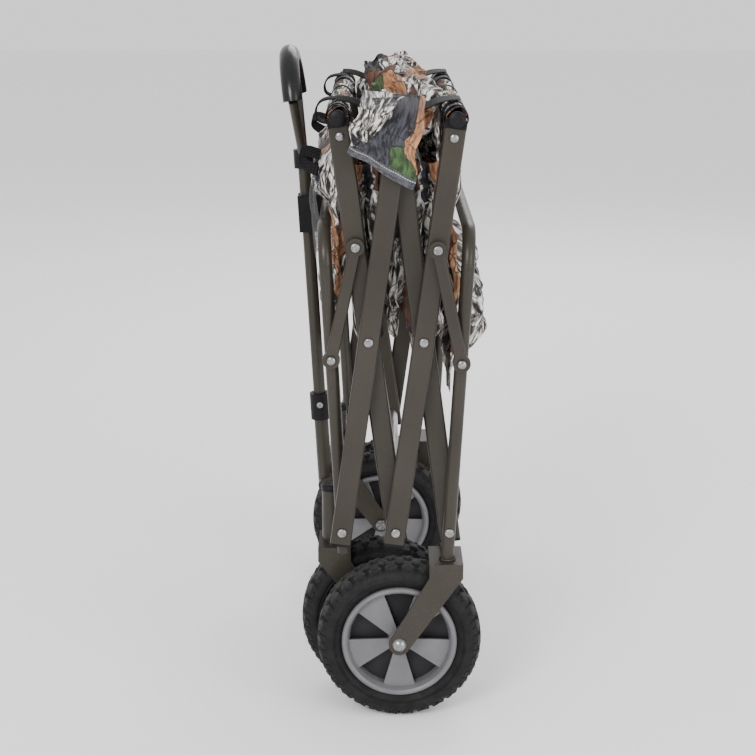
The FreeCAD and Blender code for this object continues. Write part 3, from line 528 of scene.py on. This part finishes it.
def tyre_mesh(name, radius, half, rim):
    """A knobby tyre: a smooth carcass, rows of waisted blocks, and square lugs on each shoulder."""
    bm = bmesh.new()
    crown, corner, sag = radius - 0.0034, 0.013, 0.0015

    def surface(y):
        """The carcass's radius at a distance from the tyre's middle."""
        past = max(abs(y) - (half - corner), 0.0)
        return crown - corner + math.sqrt(max(corner**2 - past**2, 0.0)) - sag * (y / half) ** 2

    turn = [math.radians(a) for a in (0, 18, 36, 54, 72, 88)]
    bend_y, bend_r = half - corner, crown - sag - corner
    shoulder = [(bend_y + corner * math.sin(a), bend_r + corner * math.cos(a)) for a in turn]
    wall = [
        (half - 0.0004, crown - 0.0165), (half - 0.0016, crown - 0.0172), (half - 0.0018, crown - 0.0186),
        (half - 0.0008, crown - 0.0196), (half - 0.003, rim + 0.005), (half - 0.006, rim + 0.0006),
    ]
    right = [(0.0, crown), (half * 0.3, crown - 0.0002)] + shoulder + wall
    outline = right + [(-y, r) for y, r in reversed(right[1:])]
    ring_mesh(bm, outline)
    around, row_gap, block_wide = 30, 0.0128, 0.0152
    pitch = 2 * math.pi * radius / around
    waisted = [(-0.40, -0.32), (-0.16, -0.5), (0.16, -0.5), (0.40, -0.32), (0.2, 0.0), (0.40, 0.32),
               (0.16, 0.5), (-0.16, 0.5), (-0.40, 0.32), (-0.2, 0.0)]
    edge = half - corner * 0.42
    lug = [(-0.16, -0.0036), (0.16, -0.0036), (0.16, 0.0036), (-0.16, 0.0036)]
    for k in range(around):
        for row in (-1, 0, 1):
            y0 = row * row_gap
            angle = (k + (0.5 if row else 0.0)) * pitch / radius
            block = [(s * pitch * 0.95, y0 + y * block_wide) for s, y in waisted]
            wrapped_block(
                bm, block, radius, lambda y: surface(y) - 0.001, lambda y: surface(y) + 0.0032, angle
            )
        for flank in (-1, 1):
            angle = (k + 0.25) * pitch / radius
            for half_turn in (0.0, 0.5):
                block = [(s * pitch, flank * edge + y) for s, y in lug]
                wrapped_block(
                    bm, block, radius, lambda y: surface(y) - 0.002, lambda y: surface(y) + 0.002,
                    angle + half_turn * pitch / radius,
                )
    return finished(bm, name)


def wedge(bm, angle, near, far, near_half, far_half, y_out, y_in):
    """A flat wedge spoke between two radii, from one side of the wheel to another."""
    spin = Matrix.Rotation(angle, 3, "Y")
    corners = [(-near_half, near), (near_half, near), (far_half, far), (-far_half, far)]
    rings = [[bm.verts.new(spin @ Vector((x, y, z))) for x, z in corners] for y in (y_out, y_in)]
    bm.faces.new(rings[0])
    bm.faces.new(rings[1])
    for i in range(4):
        j = (i + 1) % 4
        bm.faces.new((rings[0][i], rings[0][j], rings[1][j], rings[1][i]))


def rim_meshes(name, rim, half):
    """The rim's light face (lip, spokes and hub on both sides) and its inner web, which is later given a
    darker copy of the rim's plastic as painted shade.
    """
    bm = bmesh.new()
    lip = [
        (-half + 0.003, rim), (-half + 0.001, rim - 0.0015), (-half + 0.0005, rim - 0.004),
        (-half + 0.0025, rim - 0.0065), (-half + 0.007, rim - 0.0085), (-half + 0.010, rim - 0.0095),
        (-half + 0.022, rim - 0.0105),
    ]
    outline = lip + [(-y, r) for y, r in reversed(lip)]
    ring_mesh(bm, outline)
    hub = [(-half - 0.0034, 0.0064), (-half - 0.0034, 0.0105), (-half + 0.004, 0.0135), (0.0, 0.0145)]
    ring_mesh(bm, hub + [(-y, r) for y, r in reversed(hub[:-1])], 48)
    for k in range(5):
        turn = math.pi + 2 * math.pi * k / 5
        for side in (-1, 1):
            wedge(bm, turn, 0.010, rim - 0.009, 0.0055, 0.0205, side * (half - 0.009), side * (half - 0.0125))
    light = finished(bm, name)
    bm = bmesh.new()
    for k in range(5):
        turn = 2 * math.pi * k / 5
        wedge(bm, turn, 0.011, rim - 0.010, 0.005, 0.0235, -0.005, 0.005)
        for edge in (-1, 1):
            tilt = math.pi + turn + edge * 0.305
            wedge(bm, tilt, 0.012, rim - 0.010, 0.0009, 0.0009, -half + 0.012, half - 0.012)
    return light, finished(bm, name + "_web")


def softened_edges(piece, width):
    sharp = math.radians(40)
    applied(piece, "BEVEL", width=width, segments=2, limit_method="ANGLE", angle_limit=sharp)


def make_wheels():
    low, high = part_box("tyre_rear_left")
    rim_low, rim_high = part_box("rim_rear_left")
    radius, half = (high.z - low.z) / 2, (high.y - low.y) / 2
    rim = (rim_high.z - rim_low.z) / 2
    tyre = tyre_mesh("tyre", radius, half, rim)
    face, web = rim_meshes("rim", rim, half)
    for tag in ("rear_left", "rear_right", "front_left", "front_right"):
        centre = middle("tyre_" + tag)
        body = "wheel_" + tag
        rubber = add_mesh("knobby_tyre_" + tag, tyre.copy(), "tyre_rubber", smooth=False)
        rubber.location = centre
        rubber.data.set_sharp_from_angle(angle=math.radians(32))
        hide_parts("tyre_" + tag)
        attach(rubber, body)
        light = add_mesh("spoked_rim_" + tag, face.copy(), "rim_plastic", smooth=False)
        softened_edges(light, 0.0006)
        light.location = centre
        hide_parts("rim_" + tag)
        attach(light, body)
        # The inner web takes the darker painted-shade copy of the rim's plastic.
        dark = add_mesh("rim_web_" + tag, web.copy(), "rim_web_painted_shade", smooth=False)
        dark.location = centre
        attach(dark, body)


# ---------------------------------------------------------------- screws and caps
def button_mesh(name, radius, height):
    """A low dome with a rolled edge, its flat side towards +Y."""
    bm = bmesh.new()
    arc = [(math.sin(t), math.cos(t)) for t in (0.25, 0.5, 0.8, 1.1, 1.35)]
    outline = [(0.0, radius * 0.96), (-height * 0.25, radius)] + [
        (-height * (0.3 + 0.7 * c), radius * s * 0.98) for s, c in reversed(arc)
    ] + [(-height, 0.0002), (0.0, 0.0002)]
    ring_mesh(bm, outline, 40)
    return finished(bm, name)


def button(name, place, side, radius, height, material, body):
    """A domed head or cap on one side of the wagon, in the given material."""
    piece = add_mesh(name, button_mesh(name, radius, height), material)
    piece.location = place
    if side > 0:
        piece.rotation_euler = (0, 0, math.pi)
    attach(piece, body)


SMALL_HEAD = (0.0052, 0.0026)  # radius and height
SCREW_DROP = 0.021


def small_fittings():
    """Heads of the cradle screws and of the lower link pins, and the round caps in the rails' ends."""
    for end in ("front", "rear"):
        low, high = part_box(f"{end}_links")
        reach = high.z - (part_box(f"{end}_link_bolts")[1].z - BOLT_HEAD)
        pin_x = low.x + reach if end == "front" else high.x - reach
        rail, face = RAIL[end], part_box(f"{end}_rail_bars")[1].y
        for side in (-1, 1):
            tag = f"{end}_{'left' if side < 0 else 'right'}"
            lean = -OUT[end] * math.tan(BAR_LEAN)
            screw = (rail.x + SCREW_DROP * lean, side * face, rail.z - SCREW_DROP)
            button(f"cradle_screw_{tag}", screw, side, *SMALL_HEAD, "zinc_bolt", f"{end}_rail_bars")
            pin = (pin_x, side * high.y, low.z + reach)
            button(f"link_pin_{tag}", pin, side, *SMALL_HEAD, "zinc_bolt", f"{end}_links")
            cap = (rail.x, side * (face + 0.0028), rail.z)
            button(f"rail_cap_{tag}", cap, side, 0.0098, 0.0036, "black_plastic", f"{end}_rail_bars")


def weld_bead(name, place, radius, body):
    """A rough bead of weld round the foot of a tube."""
    bm = bmesh.new()
    turns, around = 72, 8
    rings = []
    for k in range(turns):
        a = 2 * math.pi * k / turns
        fat = 0.0016 + 0.0005 * math.sin(17 * a) + 0.0004 * math.sin(29 * a + 1)
        ring = []
        for j in range(around):
            b = 2 * math.pi * j / around
            r = radius + fat * math.cos(b)
            ring.append(bm.verts.new((r * math.cos(a), r * math.sin(a), fat * math.sin(b))))
        rings.append(ring)
    for k in range(turns):
        for j in range(around):
            n = (j + 1) % around
            bm.faces.new((rings[k][j], rings[(k + 1) % turns][j], rings[(k + 1) % turns][n], rings[k][n]))
    mesh = bpy.data.meshes.new(name)
    bm.to_mesh(mesh)
    bm.free()
    piece = add_mesh(name, mesh, "frame_paint")
    piece.location = place
    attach(piece, body)


def welds():
    """Beads where the rear posts stand on the fork crowns."""
    posts_low, posts_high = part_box("rear_posts")
    crown_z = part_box("rear_forks")[1].z
    foot_x = posts_low.x + POST_RADIUS + POST_LEAN_SHIFT
    for side in (-1, 1):
        tag = SIDE[side]
        foot = (foot_x, side * (posts_high.y - POST_RADIUS), crown_z + 0.0012)
        weld_bead(f"post_weld_{tag}", foot, POST_RADIUS + 0.0003, "rear_frame")


# ---------------------------------------------------------------- cloth tub
WALL_TOP, WALL_LOW = 0.716, 0.486
HALF_TUB = 0.066  # from the middle of the folded tub to its end walls
FLOOR_WIDE, FLOOR_LONG = 0.392, 0.378


def side_wall(end, side):
    """Half of a long side, gathered into upright folds between a rail and the top centre."""
    out = OUT[end]
    folds = 3.0

    def where(u, v):
        x = CENTRE_X + out * (HALF_TUB * (1 - u) + 0.001)
        phase = 2 * math.pi * folds * u
        depth = 0.0105 + 0.0035 * math.sin(5 * u + end.count("r"))
        y = side * (0.2145 + depth * math.cos(phase) * smooth_step(v * 4 + 0.25))
        x += out * 0.010 * math.sin(2 * phase) * smooth_step(v * 3)
        tip = 0.5 + 0.5 * math.cos(phase)
        bottom = WALL_LOW + 0.018 + 0.10 * (1 - tip) * (0.6 + 0.4 * math.sin(3.7 * u + 1)) - 0.028 * tip
        top = WALL_TOP - 0.026 * math.sin(math.pi * u) - 0.016 * (1 - u)
        p = Vector((x, y, top + (bottom - top) * v))
        return p + crumple(p, 1 + out, 0.010 * smooth_step(v * 3), 26) + crumple(p, 5, 0.004, 80)

    piece = cloth(f"side_wall_{end}_{'left' if side < 0 else 'right'}", where, (0.19, 0.24), (96, 44))
    if side < 0:
        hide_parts(f"side_cloth_{end}", "side_cloth_middle")
    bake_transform(piece)


def end_wall(end):
    """An end of the tub, slack between the posts: it bellies out above and below the frame's top tube."""
    out = OUT[end]
    top, low = (0.712, 0.496) if end == "front" else (0.710, 0.402)
    waist = middle(f"{end}_top_tube").z + 0.014
    spans = ((waist + 0.058, 0.036, 0.027), (waist - 0.082, 0.044, 0.022))
    if end == "rear":
        spans = ((waist + 0.055, 0.034, 0.010), (waist - 0.105, 0.056, 0.037))

    def where(u, v):
        y = (u - 0.5) * 0.42
        z = top + (low - top) * v
        away = 1 - (2 * u - 1) ** 14
        hump = sum(reach * math.exp(-(((z - at) / width) ** 4)) for at, width, reach in spans)
        if end == "front":
            hump *= smooth_step((abs(y) - 0.03) / 0.06)
        x = CENTRE_X + out * (HALF_TUB + hump * away)
        slack = 0.25 + 0.75 * min(hump / 0.03, 1.0)
        crease = 0.006 * math.sin(34 * u + 9 * v) * math.sin(21 * v + 4 * u)
        crease += 0.004 * math.sin(75 * u + 3 * math.sin(8 * v))
        p = Vector((x + out * crease * away * slack, y, z))
        ridge = (1 - 2 * abs(noise.noise(p * 42 + Vector((0, 0, 7))))) * 0.007
        p.x += out * (ridge - 0.003) * away * slack
        return p + (crumple(p, 3 + out, 0.012, 22) + crumple(p, 8, 0.006, 70)) * away * slack

    area = flat_area(where)
    piece = cloth(f"end_wall_{end}", where, (0.44, area / 0.44), (96, 60))
    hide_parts(f"end_cloth_{end}")
    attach(piece, f"cloth_{end}")


def floor_half(end):
    """Half of the tub's floor, drawn up on edge when folded."""
    out = OUT[end]

    def where(u, v):
        y = (u - 0.5) * (FLOOR_WIDE - 0.04 * v)
        z = 0.40 + 0.355 * v
        lean = 0.027 - 0.019 * smooth_step((v - 0.72) / 0.28)
        p = Vector((CENTRE_X + out * (lean + 0.003 * math.sin(9 * v + 6 * u)), y, z))
        return p + crumple(p, 11 + out, 0.006, 20) + crumple(p, 4, 0.003, 60)

    piece = cloth(f"floor_half_{end}", where, (FLOOR_WIDE, FLOOR_LONG), (60, 56), thick=0.003)
    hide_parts(f"floor_panel_{end}")
    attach(piece, f"floor_{end}")


def centre_bunch():
    """The floor's middle, gathered up in a crumpled hump above the rails."""

    def where(u, v):
        a = 2 * math.pi * u
        y = (v - 0.5) * FLOOR_WIDE
        close = (1 - (2 * v - 1) ** 8) ** 0.5
        tall = 0.074 + 0.007 * math.sin(9 * v + 1) - 0.010 * (2 * v - 1) ** 2
        fold = 0.0055 * math.sin(23 * v + 4 * math.sin(a)) + 0.004 * math.sin(41 * v + 7 * a)
        x = 0.034 * math.sin(a) * (1 - 0.25 * math.cos(a)) + 0.008 * math.sin(6 * v + 1)
        x *= 0.4 + 0.6 * close
        z = 0.704 + (tall * (0.5 + 0.5 * math.cos(a)) ** 0.8) * (0.35 + 0.65 * close)
        p = Vector((CENTRE_X + 0.004 + x + fold * math.sin(a), y, z + fold * 0.7 * (0.5 + 0.5 * math.cos(a))))
        ridges = 1 - abs(noise.noise(p * 55)) * 2
        lift = Vector((0, 0, 0.006 * ridges * close))
        return p + crumple(p, 21, 0.012, 34) + lift + crumple(p, 22, 0.004, 110)

    area = flat_area(where)
    piece = cloth("floor_bunch_cloth", where, (0.19, area / 0.19), (80, 130), closed=True)
    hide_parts("floor_bunch")
    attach(piece, "floor_middle")
    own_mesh(piece)


def rail_sleeve(end):
    """The camouflage sleeve gathered round a top rail, and the loops that bind it."""
    rail = RAIL[end]
    half = 0.2365 if end == "front" else 0.2545
    low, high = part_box(f"{end}_rail_sleeve")
    radius = (high.z - low.z) / 2

    def where(u, v):
        a = 2 * math.pi * u
        y = (v - 0.5) * 2 * half
        ripple = 0.0012 * math.sin(2 * math.pi * 26 * v + 1.6 * math.sin(a))
        ripple += 0.0009 * math.sin(57 * v + 3 * a)
        r = radius - 0.0015 + ripple
        p = Vector((rail.x + r * math.sin(a), y, rail.z + r * math.cos(a)))
        return p + crumple(p, 31, 0.0022, 60)

    piece = cloth(f"{end}_sleeve_cloth", where, (0.09, 2 * half), (40, 220), closed=True)
    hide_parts(f"{end}_rail_sleeve")
    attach(piece, f"{end}_rail_bars")
    edge = half - 0.008
    for k, place in enumerate((-edge, -0.135, 0.0, 0.135, edge)):
        wide = 0.013 if k % 2 == 0 else 0.024
        strap_ring(f"{end}_loop_{k}", rail, place, radius + 0.0012, wide, f"{end}_rail_bars")


def strap_ring(name, rail, y, radius, wide, body):
    """A webbing loop round a sleeve."""

    def where(u, v):
        a = 2 * math.pi * u
        skew = 0.004 * math.sin(a)
        swell = radius + 0.0006 * math.cos(3 * a)
        across = y + (v - 0.5) * wide + skew
        return Vector((rail.x + swell * math.sin(a), across, rail.z + swell * math.cos(a)))

    piece = cloth(name, where, (0.09, wide), (36, 4), "webbing", 0.0014, closed=True)
    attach(piece, body)


def ribbon(name, points, wide, across, thick=0.0016, twist=0.0):
    """A strap through some points, as wide as stated along its crosswise direction."""
    curve = bpy.data.curves.new(name, "CURVE")
    curve.dimensions = "3D"
    curve.resolution_u = 12
    spline = curve.splines.new("NURBS")
    spline.points.add(len(points) - 1)
    for point, co in zip(spline.points, points):
        point.co = (*co, 1)
    spline.order_u = 3
    spline.use_endpoint_u = True
    made = bpy.data.objects.new(name + "_line", curve)
    bpy.context.scene.collection.objects.link(made)
    line = bpy.data.meshes.new_from_object(made.evaluated_get(bpy.context.evaluated_depsgraph_get()))
    path = [v.co.copy() for v in line.vertices]
    bpy.data.objects.remove(made)
    steps = len(path) - 1
    length = sum((b - a).length for a, b in zip(path, path[1:]))
    crosswise = Vector(across).normalized()

    def where(u, v):
        index = min(int(v * steps), steps - 1)
        p = path[index].lerp(path[index + 1], v * steps - index)
        run = (path[index + 1] - path[index]).normalized()
        turned = Matrix.Rotation(twist * v, 3, run) @ crosswise
        return p + turned * (u - 0.5) * wide

    piece = cloth(name, where, (wide, length), (4, steps), "webbing", thick)
    return piece


def side_flap(side):
    """The fold of cloth turned down over the top centre, with its stitched hem."""
    tag = SIDE[side]
    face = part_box("top_flaps")[1].y - 0.0015

    def where(u, v):
        left, right = CENTRE_X - 0.059, CENTRE_X + 0.016
        top_left, top_right = 0.764, 0.757
        low_left, low_right = 0.706, 0.664
        x = left + (right - left) * u + (0.018 * (1 - u) + 0.016 * u) * (1 - v) + 0.003 * math.sin(9 * v)
        edge = low_left + (low_right - low_left) * u ** 0.9
        z = top_left + (top_right - top_left) * u + (edge - top_left - (top_right - top_left) * u) * v
        over = smooth_step((0.24 - v) / 0.24)
        y = face - 0.050 * over ** 1.6 + 0.0015
        z += 0.006 * over
        fold = 0.0035 * math.sin(4.2 * (u + 1.3 * v))
        fold -= 0.006 * math.exp(-(((u - 0.35 - 0.8 * (0.45 - v)) / 0.07) ** 2))
        p = Vector((x, side * (y + fold * smooth_step(v * 5)), z))
        return p + crumple(p, 41, 0.004, 34) * smooth_step(v * 4 + 0.2)

    area = flat_area(where)
    piece = cloth(f"top_flap_{tag}", where, (0.09, area / 0.09), (60, 52), "camo_leafy", 0.0014)
    if side < 0:
        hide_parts("top_flaps")
    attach(piece, "cloth_middle")

    def tuck(u, v):
        a, b, c = Vector((-0.042, 0.763)), Vector((0.010, 0.765)), Vector((-0.037, 0.729))
        s = a + (b - a) * u * (1 - v * 0.94) + (c - a) * v
        bend = 0.0032 * math.sin(3.1 * u) * (1 - v) + 0.0015 * math.sin(11 * v + 3 * u)
        y = face + 0.0022 + bend - 0.030 * smooth_step((s.y - 0.748) / 0.018) ** 1.5
        return Vector((CENTRE_X + s.x, side * y, s.y))

    area_tuck = flat_area(tuck)
    fold = cloth(f"flap_tuck_{tag}", tuck, (0.05, area_tuck / 0.05), (40, 40), "camo_pale", 0.0014)
    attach(fold, "cloth_middle")

    def hem(u, v):
        p = where(u, 0.895 + 0.112 * v)
        return p + Vector((0, side * 0.0016, 0))

    strip = cloth(f"flap_hem_{tag}", hem, (0.09, 0.011), (60, 3), "hem_band", 0.001)
    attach(strip, "cloth_middle")


def straps():
    """Webbing between the rails and the cloth, and the loose loops at the handle end."""
    front, rear = RAIL["front"], RAIL["rear"]
    for side in (-1, 1):
        tag = SIDE[side]
        y = side * 0.20
        narrow = ribbon(
            f"tie_front_{tag}",
            [(front.x - 0.003, y, front.z + 0.0172), (front.x + 0.012, y, front.z + 0.0172),
             (CENTRE_X - 0.036, y * 0.98, front.z + 0.008), (CENTRE_X - 0.016, y * 0.95, front.z + 0.010)],
            0.013, across=(0, 0.9, 0.4), twist=0.4,
        )
        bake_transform(narrow)
        broad = ribbon(
            f"tie_rear_{tag}",
            [(CENTRE_X + 0.006, y * 0.98, rear.z + 0.002), (CENTRE_X + 0.030, y, rear.z + 0.006),
             (rear.x - 0.012, y, rear.z + 0.0185), (rear.x + 0.007, y, rear.z + 0.0175)],
            0.026, across=(0, 0.92, 0.38), twist=-0.3,
        )
        strap_ring(f"tie_loop_rear_{tag}", rear, y, 0.0142, 0.026, "rear_rail_bars")
        strap_ring(f"tie_loop_front_{tag}", front, y, 0.0142, 0.014, "front_rail_bars")
        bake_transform(broad)
        thin = ribbon(
            f"hang_loop_{tag}",
            [(front.x + 0.002, side * 0.168, front.z + 0.0145),
             (front.x - 0.018, side * 0.168, front.z + 0.016),
             (front.x - 0.029, side * 0.169, front.z + 0.002),
             (front.x - 0.025, side * 0.170, front.z - 0.014),
             (front.x - 0.010, side * 0.171, front.z - 0.014)],
            0.010, across=(0.15, 1, 0.3), thick=0.0022,
        )
        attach(thin, "cloth_front")


def front_pockets():
    """Two net pockets and their webbing tabs on the handle end of the tub."""
    for side in (-1, 1):
        tag = SIDE[side]

        def where(u, v):
            y = side * (0.085 + 0.115 * u)
            z = 0.675 - 0.115 * v
            puff = 0.016 * math.sin(math.pi * min(u * 1.02, 1)) ** 0.7 * math.sin(math.pi * (0.15 + 0.8 * v))
            p = Vector((CENTRE_X - 0.095 - puff * 0.55, y, z))
            return p + crumple(p, 51, 0.006, 30)

        piece = cloth(f"net_pocket_{tag}", where, (0.13, 0.13), (30, 30), "netting", 0.0)
        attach(piece, "cloth_front")
        edge = ribbon(
            f"pocket_tab_{tag}",
            [(CENTRE_X - 0.090, side * 0.19, 0.690), (CENTRE_X - 0.112, side * 0.192, 0.700),
             (CENTRE_X - 0.116, side * 0.196, 0.682), (CENTRE_X - 0.092, side * 0.198, 0.672)],
            0.014, across=(0.2, 0.3, 0.93),
        )
        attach(edge, "cloth_front")


make_stage()
dress_frame()
make_wheels()
small_fittings()
welds()
for end in ("front", "rear"):
    rail_sleeve(end)
    end_wall(end)
    floor_half(end)
    for side in (-1, 1):
        side_wall(end, side)
centre_bunch()
for side in (-1, 1):
    side_flap(side)
straps()
front_pockets()
